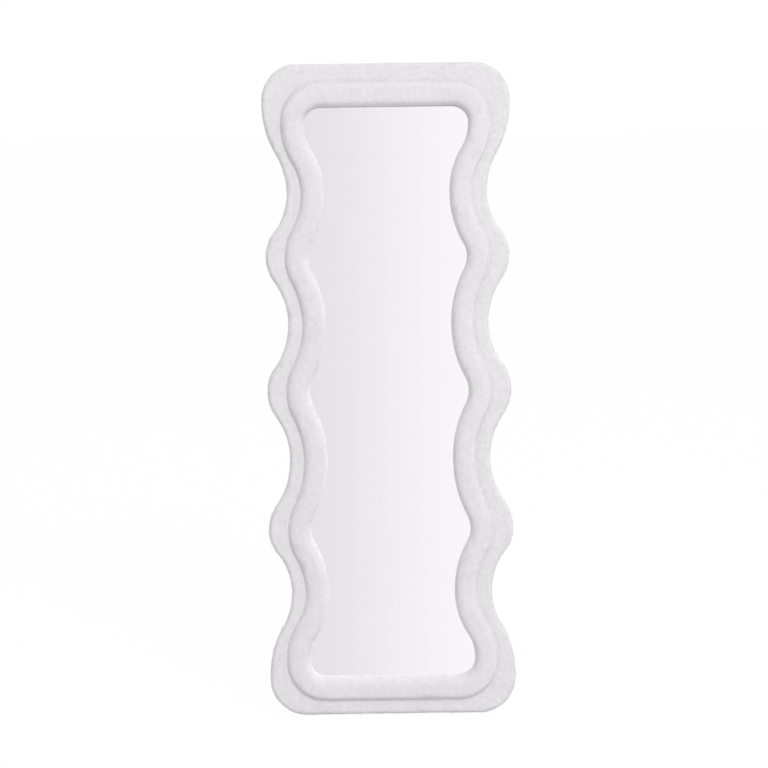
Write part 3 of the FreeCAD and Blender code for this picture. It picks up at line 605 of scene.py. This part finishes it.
def lock_mesh(name, spots, up):
    """A mesh of all the locks, shaded like the plush that they lie on."""
    base = spots.shape[1] * np.arange(len(spots))[:, None]
    faces = []
    for corners in LOCK_FACES:
        faces += (base + np.array(corners)).tolist()
    mesh = bpy.data.meshes.new(name)
    mesh.from_pydata(spots.reshape(-1, 3), [], faces)
    mesh.polygons.foreach_set("use_smooth", np.ones(len(faces), bool))
    mesh.normals_split_custom_set_from_vertices(np.repeat(up, spots.shape[1], axis=0))
    return mesh


def make_pile(name, grid, columns, seed):
    """Bent locks over some columns of a sweep, brushed along the lay of the pile."""
    rng = np.random.default_rng(seed)
    stations, all_columns = grid.shape[:2]
    along, across = scatter(grid, columns, rng)
    row, line = along.astype(int), across.astype(int)
    near = grid[row, line]
    step_along = grid[(row + 1) % stations, line] - near
    step_across = grid[row, line + 1] - near
    root = near + step_along * (along - row)[:, None] + step_across * (across - line)[:, None]
    up = unit(np.cross(step_along, step_across))
    ahead = unit(step_along)
    beside = np.cross(up, ahead)
    spots = lock_spots(root, up, ahead, beside, rng)
    mesh = lock_mesh(name, spots, up)
    drift = spots - root[:, None]
    shift_along = (drift * ahead[:, None]).sum(-1) / np.linalg.norm(step_along, axis=1)[:, None]
    shift_across = (drift * beside[:, None]).sum(-1) / np.linalg.norm(step_across, axis=1)[:, None]
    along_places = along[:, None] + shift_along
    across_places = across[:, None] + shift_across
    places = band_place(along_places, across_places, stations, all_columns, row[:, None])
    corners = [places[:, list(face)].reshape(-1, 2) for face in LOCK_FACES]
    layer = mesh.uv_layers.new(name="OFBake")
    layer.data.foreach_set("uv", np.clip(np.concatenate(corners), 0, 1).ravel())
    return add_object(name, mesh)


def make_plush():
    """The padded tier and the padded roll, each a swept form with an uneven pile."""
    grid, weights = tier_columns()
    flap_columns = len(shares(FLAP_WIDTH - BACK_EDGE_RADIUS))
    tier = sweep_mesh("tier_plush", to_world(pleat(grid, flap_columns)))
    tier_grid = ruffle(tier, weights)
    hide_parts("tier_cover", "tier_padding")
    crease = len(weights) - HIDDEN_COLUMNS - 1
    grid, weights = roll_columns()
    roll = sweep_mesh("roll_plush", to_world(grid))
    roll_grid = ruffle(roll, weights)
    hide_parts("roll_cover", "roll_padding")
    wall = len(shares(CORE_FRONT - BASE_THICKNESS))
    piles = [
        make_pile("tier_pile", tier_grid, (FLAP_COLUMNS, crease), 1),
        make_pile("roll_pile", roll_grid, (wall + SIDE_COLUMNS, len(weights) - FOOT_COLUMNS), 2),
    ]
    plush = plush_material()
    for piece in (tier, roll, *piles):
        piece.data.materials.append(plush)
        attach(piece, "mirror_panel")


def add_node(tree, kind, **values):
    """A new node of a tree with some of its settings."""
    node = tree.nodes.new(kind)
    for key, value in values.items():
        setattr(node, key, value)
    return node


class Nodes:
    """A material under construction: its node tree, its shader and short ways to add nodes."""

    def __init__(self, name):
        self.material = bpy.data.materials.new(name)
        self.material.use_nodes = True
        self.tree = self.material.node_tree
        self.shader = self.tree.nodes["Principled BSDF"]
        self.place = self.add("ShaderNodeTexCoord").outputs["Object"]

    def add(self, kind, **values):
        return add_node(self.tree, kind, **values)

    def link(self, source, target):
        self.tree.links.new(source, target)

    def set(self, **values):
        """Sets sockets of the shader; an underscore stands for a space."""
        for key, value in values.items():
            self.shader.inputs[key.replace("_", " ")].default_value = value

    def noise(self, size, detail=3.0, stretch=(1, 1, 1)):
        """Noise whose features are about size metres wide, longer along stretched axes."""
        mapping = self.add("ShaderNodeMapping")
        mapping.inputs["Scale"].default_value = [1 / (size * part) for part in stretch]
        self.link(self.place, mapping.inputs["Vector"])
        node = self.add("ShaderNodeTexNoise")
        node.inputs["Scale"].default_value = 1
        node.inputs["Detail"].default_value = detail
        self.link(mapping.outputs["Vector"], node.inputs["Vector"])
        return node.outputs["Fac"]

    def ramp(self, source, stops):
        """Colours or greys over a value; each stop is (place, colour)."""
        node = self.add("ShaderNodeValToRGB")
        elements = node.color_ramp.elements
        while len(elements) < len(stops):
            elements.new(0)
        for element, (place, colour) in zip(elements, stops):
            element.position = place
            element.color = (*colour, 1) if isinstance(colour, tuple) else (colour, colour, colour, 1)
        self.link(source, node.inputs["Fac"])
        return node.outputs["Color"]

    def mix(self, first, second, share):
        node = self.add("ShaderNodeMix", data_type="RGBA")
        node.inputs["Factor"].default_value = share
        self.link(first, node.inputs["A"])
        self.link(second, node.inputs["B"])
        return node.outputs["Result"]

    def colour(self, source):
        self.link(source, self.shader.inputs["Base Color"])

    def rough(self, source):
        self.link(source, self.shader.inputs["Roughness"])

    def bump(self, *layers):
        """Bumps stacked in order; each layer is (height, strength, distance in metres)."""
        normal = None
        for height, strength, distance in layers:
            node = self.add("ShaderNodeBump")
            node.inputs["Strength"].default_value = strength
            node.inputs["Distance"].default_value = distance
            self.link(height, node.inputs["Height"])
            if normal:
                self.link(normal, node.inputs["Normal"])
            normal = node.outputs["Normal"]
        self.link(normal, self.shader.inputs["Normal"])


def plush_material():
    """Short white plush: soft mottling, clumps of pile and a fine nap."""
    nodes = Nodes("plush")
    broad = nodes.ramp(nodes.noise(PLUSH_CLOUD), [(0.3, (0.73, 0.71, 0.73)), (0.7, (0.78, 0.76, 0.78))])
    clumps = nodes.noise(PLUSH_CLUMP, 4)
    tint = nodes.ramp(clumps, [(0.3, (0.7, 0.68, 0.7)), (0.68, (0.8, 0.78, 0.8))])
    nodes.colour(nodes.mix(broad, tint, 0.5))
    fibres = nodes.noise(PLUSH_FIBRE, 3, (1, 1, 2.2))
    nodes.rough(nodes.ramp(fibres, [(0.2, 0.82), (0.8, 0.98)]))
    nodes.bump((clumps, 0.35, PLUSH_CLUMP_DEPTH), (fibres, 0.5, PLUSH_FIBRE_DEPTH))
    nodes.set(Sheen_Weight=0.25, Sheen_Roughness=0.5, Specular_IOR_Level=0.2)
    return nodes.material


def foam_material(name, pale, deep):
    """Open-cell foam with small pores."""
    nodes = Nodes(name)
    pores = nodes.noise(FOAM_PORE, 2)
    nodes.colour(nodes.ramp(pores, [(0.35, deep), (0.6, pale)]))
    nodes.rough(nodes.ramp(pores, [(0.3, 0.95), (0.7, 0.85)]))
    nodes.bump((pores, 0.5, FOAM_PORE_DEPTH))
    return nodes.material


def board_material():
    """Pine board with long grain."""
    nodes = Nodes("board")
    grain = nodes.noise(BOARD_GRAIN, 4, (1, 1, 14))
    nodes.colour(nodes.ramp(grain, [(0.3, (0.38, 0.24, 0.12)), (0.7, (0.56, 0.4, 0.23))]))
    nodes.rough(nodes.ramp(grain, [(0.2, 0.55), (0.8, 0.7)]))
    nodes.bump((grain, 0.3, BOARD_GRAIN_DEPTH))
    return nodes.material


def hardboard_material():
    """Brown pressed fibre board with specks and a faint sheen."""
    nodes = Nodes("hardboard")
    tones = [(0.3, (0.16, 0.085, 0.042)), (0.7, (0.21, 0.115, 0.06))]
    cloud = nodes.ramp(nodes.noise(HARDBOARD_CLOUD), tones)
    fibres = nodes.noise(HARDBOARD_FIBRE, 5, (1.6, 1, 1))
    specks = nodes.ramp(fibres, [(0.35, (0.1, 0.052, 0.026)), (0.65, (0.25, 0.145, 0.078))])
    nodes.colour(nodes.mix(cloud, specks, 0.45))
    nodes.rough(nodes.ramp(fibres, [(0.2, 0.48), (0.8, 0.66)]))
    nodes.bump((fibres, 0.2, HARDBOARD_FIBRE_DEPTH))
    return nodes.material


def mirror_material():
    """Silvered glass: clear reflection with a trace of dust."""
    nodes = Nodes("mirror")
    dust = nodes.noise(MIRROR_DUST, 6)
    nodes.colour(nodes.ramp(dust, [(0.3, (0.945, 0.935, 0.945)), (0.7, (0.955, 0.945, 0.955))]))
    nodes.rough(nodes.ramp(dust, [(0.35, 0.008), (0.75, 0.02)]))
    nodes.set(Metallic=1, Coat_Weight=0.2, Coat_Roughness=0.02)
    return nodes.material


def film_material():
    """Grey shatter film with faint stretch lines."""
    nodes = Nodes("film")
    lines = nodes.noise(FILM_LINE, 2, (1, 1, 30))
    nodes.colour(nodes.ramp(lines, [(0.3, (0.31, 0.35, 0.38)), (0.7, (0.37, 0.41, 0.44))]))
    nodes.rough(nodes.ramp(lines, [(0.2, 0.3), (0.8, 0.42)]))
    nodes.bump((lines, 0.1, FILM_LINE_DEPTH))
    return nodes.material


def zinc_material():
    """Bright zinc plating with fine spangle and dull patches."""
    nodes = Nodes("zinc")
    spangle = nodes.noise(ZINC_SPANGLE, 3)
    nodes.colour(nodes.ramp(spangle, [(0.3, (0.48, 0.48, 0.46)), (0.7, (0.62, 0.62, 0.6))]))
    nodes.rough(nodes.ramp(spangle, [(0.25, 0.28), (0.75, 0.42)]))
    nodes.bump((spangle, 0.12, ZINC_SPANGLE_DEPTH))
    nodes.set(Metallic=1)
    return nodes.material


def coat_material():
    """White powder coat with its orange-peel surface."""
    nodes = Nodes("white_coat")
    peel = nodes.noise(COAT_PEEL, 2)
    cloud = nodes.noise(COAT_CLOUD, 2)
    nodes.colour(nodes.ramp(cloud, [(0.3, (0.72, 0.72, 0.71)), (0.7, (0.77, 0.77, 0.76))]))
    nodes.rough(nodes.ramp(peel, [(0.2, 0.34), (0.8, 0.46)]))
    nodes.bump((peel, 0.25, COAT_PEEL_DEPTH))
    return nodes.material


def plastic_material(name, pale, deep, low_rough):
    """Moulded plastic with a fine matt grain."""
    nodes = Nodes(name)
    grain = nodes.noise(PLASTIC_GRAIN, 2)
    cloud = nodes.noise(PLASTIC_CLOUD, 2)
    nodes.colour(nodes.ramp(cloud, [(0.3, deep), (0.7, pale)]))
    nodes.rough(nodes.ramp(grain, [(0.2, low_rough), (0.8, low_rough + 0.15)]))
    nodes.bump((grain, 0.2, PLASTIC_GRAIN_DEPTH))
    return nodes.material


MATERIALS = {
    "foam": foam_material("foam", (0.83, 0.8, 0.62), (0.7, 0.66, 0.5)),
    "filler_foam": foam_material("filler_foam", (0.8, 0.8, 0.8), (0.68, 0.68, 0.68)),
    "board": board_material(),
    "hardboard": hardboard_material(),
    "mirror": mirror_material(),
    "film": film_material(),
    "zinc": zinc_material(),
    "white_coat": coat_material(),
    "nylon": plastic_material("nylon", (0.72, 0.7, 0.62), (0.66, 0.64, 0.56), 0.4),
    "cap_plastic": plastic_material("cap_plastic", (0.62, 0.62, 0.62), (0.55, 0.55, 0.55), 0.5),
    "pale_rubber": plastic_material("pale_rubber", (0.72, 0.71, 0.7), (0.66, 0.65, 0.64), 0.68),
}


def dress_nodes():
    """Gives every carried-over node the material of its slot."""
    for part in frame["record"]["subparts"]:
        node = frame["nodes"][part["node"]]
        if part["material_slot"] in MATERIALS:
            node.data.materials.clear()
            node.data.materials.append(MATERIALS[part["material_slot"]])


def panel_axes():
    """The panel's directions in the room: to the right, up along it and out of its front."""
    right = Vector((1, 0, 0))
    up = Vector((0, math.sin(LEAN), math.cos(LEAN)))
    return right, up, right.cross(up)


def make_camera():
    """A camera square to the panel, framed and turned as the photograph is."""
    right, up, front = panel_axes()
    turn = math.radians(PHOTO_TURN)
    image_right = right * math.cos(turn) - up * math.sin(turn)
    image_up = right * math.sin(turn) + up * math.cos(turn)
    aside = (PHOTO_CENTRE[0] - PHOTO_SIDE / 2) * PIXEL
    below = (PHOTO_CENTRE[1] - PHOTO_SIDE / 2) * PIXEL
    centre = Vector(to_world([0, BASE_THICKNESS, PANEL_HEIGHT / 2]))
    aim = centre - image_right * aside + image_up * below
    data = bpy.data.cameras.new("camera")
    data.sensor_width = SENSOR
    data.lens = SENSOR * CAMERA_DISTANCE / (PHOTO_SIDE * PIXEL)
    camera = add_object("camera", data)
    axes = Matrix((image_right, image_up, front)).transposed()
    camera.matrix_world = Matrix.Translation(aim + front * CAMERA_DISTANCE) @ axes.to_4x4()
    bpy.context.scene.camera = camera


def make_lamp():
    """A soft square lamp that faces the middle of the panel."""
    side, rise = math.radians(LAMP_AZIMUTH), math.radians(LAMP_ELEVATION)
    way = Vector((math.sin(side) * math.cos(rise), -math.cos(side) * math.cos(rise), math.sin(rise)))
    data = bpy.data.lights.new("key", "AREA")
    data.size = LAMP_SIZE
    data.energy = LAMP_POWER
    lamp = add_object("key", data)
    lamp.location = Vector(to_world([0, 0, PANEL_HEIGHT / 2])) + way * LAMP_DISTANCE
    lamp.rotation_euler = way.to_track_quat("Z", "Y").to_euler()


def map_range(tree, source, limits, interpolation="LINEAR"):
    """A value carried from between the first two limits to between the last two."""
    node = add_node(tree, "ShaderNodeMapRange", interpolation_type=interpolation)
    for name, limit in zip(("From Min", "From Max", "To Min", "To Max"), limits):
        node.inputs[name].default_value = limit
    tree.links.new(source, node.inputs["Value"])
    return node.outputs["Result"]


def mix_shaders(tree, share, first, second):
    node = add_node(tree, "ShaderNodeMixShader")
    tree.links.new(share, node.inputs["Fac"])
    tree.links.new(first, node.inputs[1])
    tree.links.new(second, node.inputs[2])
    return node.outputs["Shader"]


def ambient_level(tree, way):
    """How strong the soft light is from each side."""
    facing = add_node(tree, "ShaderNodeVectorMath", operation="DOT_PRODUCT")
    facing.inputs[1].default_value = BRIGHT_SIDE
    tree.links.new(way, facing.inputs[0])
    return map_range(tree, facing.outputs["Value"], (-1, 1, DIM_LEVEL, BRIGHT_LEVEL))


def room_colour(tree, across):
    """The colour of the room that mirrors see, paler to the right."""
    ramp = add_node(tree, "ShaderNodeValToRGB")
    ramp.color_ramp.interpolation = "EASE"
    ramp.color_ramp.elements[0].color = ROOM_LEFT
    ramp.color_ramp.elements[1].color = ROOM_RIGHT
    tree.links.new(map_range(tree, across, (-ROOM_EDGE, ROOM_EDGE, 0, 1)), ramp.inputs["Fac"])
    return ramp.outputs["Color"]


def room_strength(tree, axes):
    """How strong that room is: its swells times one another."""
    strength = None
    for axis, *limits in ROOM_SWELLS:
        swell = map_range(tree, axes[axis], limits, "SMOOTHSTEP")
        if strength:
            product = add_node(tree, "ShaderNodeMath", operation="MULTIPLY")
            tree.links.new(strength, product.inputs[0])
            tree.links.new(swell, product.inputs[1])
            swell = product.outputs["Value"]
        strength = swell
    return strength


def make_world():
    """Soft light from all round; the camera sees white, and mirrors see a pale room."""
    world = bpy.data.worlds.new("studio")
    bpy.context.scene.world = world
    world.use_nodes = True
    tree = world.node_tree
    tree.nodes.clear()
    rays = add_node(tree, "ShaderNodeLightPath").outputs
    way = add_node(tree, "ShaderNodeTexCoord").outputs["Generated"]
    split = add_node(tree, "ShaderNodeSeparateXYZ")
    tree.links.new(way, split.inputs["Vector"])
    ambient, mirrored, seen = [add_node(tree, "ShaderNodeBackground") for _ in range(3)]
    ambient.inputs["Color"].default_value = WHITE
    tree.links.new(ambient_level(tree, way), ambient.inputs["Strength"])
    tree.links.new(room_colour(tree, split.outputs["X"]), mirrored.inputs["Color"])
    tree.links.new(room_strength(tree, split.outputs), mirrored.inputs["Strength"])
    seen.inputs["Color"].default_value = WHITE
    lights = [node.outputs["Background"] for node in (ambient, mirrored, seen)]
    unseen = mix_shaders(tree, rays["Is Glossy Ray"], lights[0], lights[1])
    output = add_node(tree, "ShaderNodeOutputWorld")
    tree.links.new(mix_shaders(tree, rays["Is Camera Ray"], unseen, lights[2]), output.inputs["Surface"])


def floor_material():
    """Pale grey that glows white to the camera alone."""
    material = bpy.data.materials.new("floor")
    material.use_nodes = True
    tree = material.node_tree
    tree.nodes.clear()
    matt = add_node(tree, "ShaderNodeBsdfDiffuse")
    matt.inputs["Color"].default_value = FLOOR_GREY
    glow = add_node(tree, "ShaderNodeEmission")
    glow.inputs["Strength"].default_value = FLOOR_GLOW
    share = add_node(tree, "ShaderNodeMath", operation="MULTIPLY")
    share.inputs[1].default_value = FLOOR_GLOW_SHARE
    tree.links.new(add_node(tree, "ShaderNodeLightPath").outputs["Is Camera Ray"], share.inputs[0])
    mixed = mix_shaders(tree, share.outputs["Value"], matt.outputs["BSDF"], glow.outputs["Emission"])
    output = add_node(tree, "ShaderNodeOutputMaterial")
    tree.links.new(mixed, output.inputs["Surface"])
    return material


def make_floor():
    """A pale floor that stays white to the camera but keeps the object's shadow."""
    mesh = bpy.data.meshes.new("floor")
    corners = [(x * FLOOR_REACH, y * FLOOR_REACH, 0) for x, y in ((-1, -1), (1, -1), (1, 1), (-1, 1))]
    mesh.from_pydata(corners, [], [(0, 1, 2, 3)])
    mesh.materials.append(floor_material())
    add_object("floor", mesh)


make_plush()
dress_nodes()
make_camera()
make_world()
make_floor()
make_lamp()
bpy.context.scene.view_settings.view_transform = "Standard"
